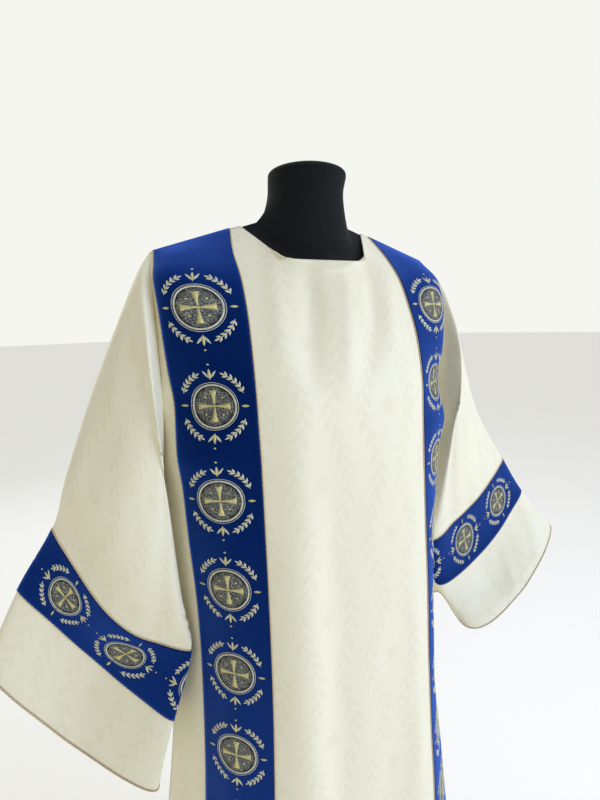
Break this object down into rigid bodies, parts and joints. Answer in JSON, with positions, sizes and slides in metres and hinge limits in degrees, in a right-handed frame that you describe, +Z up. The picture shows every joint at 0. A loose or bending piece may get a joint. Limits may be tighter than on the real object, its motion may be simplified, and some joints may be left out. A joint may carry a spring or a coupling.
{
  "type": "dalmatic on a limbless dress form",
  "caption": "Wide-sleeved ivory damask deacon's vestment with blue embroidered stripes and sleeve bands, worn by a black limbless dress form on a round base.",
  "frame": {"origin": "centre of the stand's round base, on the floor", "axes": "+Z up the stand, the garment's front faces -Y, the figure's left hand is at +X"},
  "size_m": [1.1128, 0.3943, 1.5723],
  "materials": {
    "damask": "ivory floral damask, tone on tone, soft satin sheen",
    "galloon": "royal blue woven galloon with gold and silver embroidered medallions",
    "gold_braid": "narrow twisted gold braid",
    "form_cover": "black jersey cover, matte",
    "stand_metal": "black powder-coated steel"
  },
  "bodies": {
    "root": {"front_panel": "damask", "back_panel": "damask", "sleeve_right": "damask", "sleeve_left": "damask", "clavus_front_right": "galloon", "clavus_front_left": "galloon", "clavus_back_right": "galloon", "clavus_back_left": "galloon", "sleeve_band_right": "galloon", "sleeve_band_left": "galloon", "edging_front_right_inner": "gold_braid", "edging_front_right_outer": "gold_braid", "edging_front_left_inner": "gold_braid", "edging_front_left_outer": "gold_braid", "edging_back_right_inner": "gold_braid", "edging_back_right_outer": "gold_braid", "edging_back_left_inner": "gold_braid", "edging_back_left_outer": "gold_braid", "edging_sleeve_right_upper": "gold_braid", "edging_sleeve_right_lower": "gold_braid", "edging_sleeve_right_cuff": "gold_braid", "edging_sleeve_left_upper": "gold_braid", "edging_sleeve_left_lower": "gold_braid", "edging_sleeve_left_cuff": "gold_braid", "form_torso": "form_cover", "form_neck_cap": "form_cover", "form_pole": "stand_metal", "form_base": "stand_metal"}
  },
  "joints": []
}
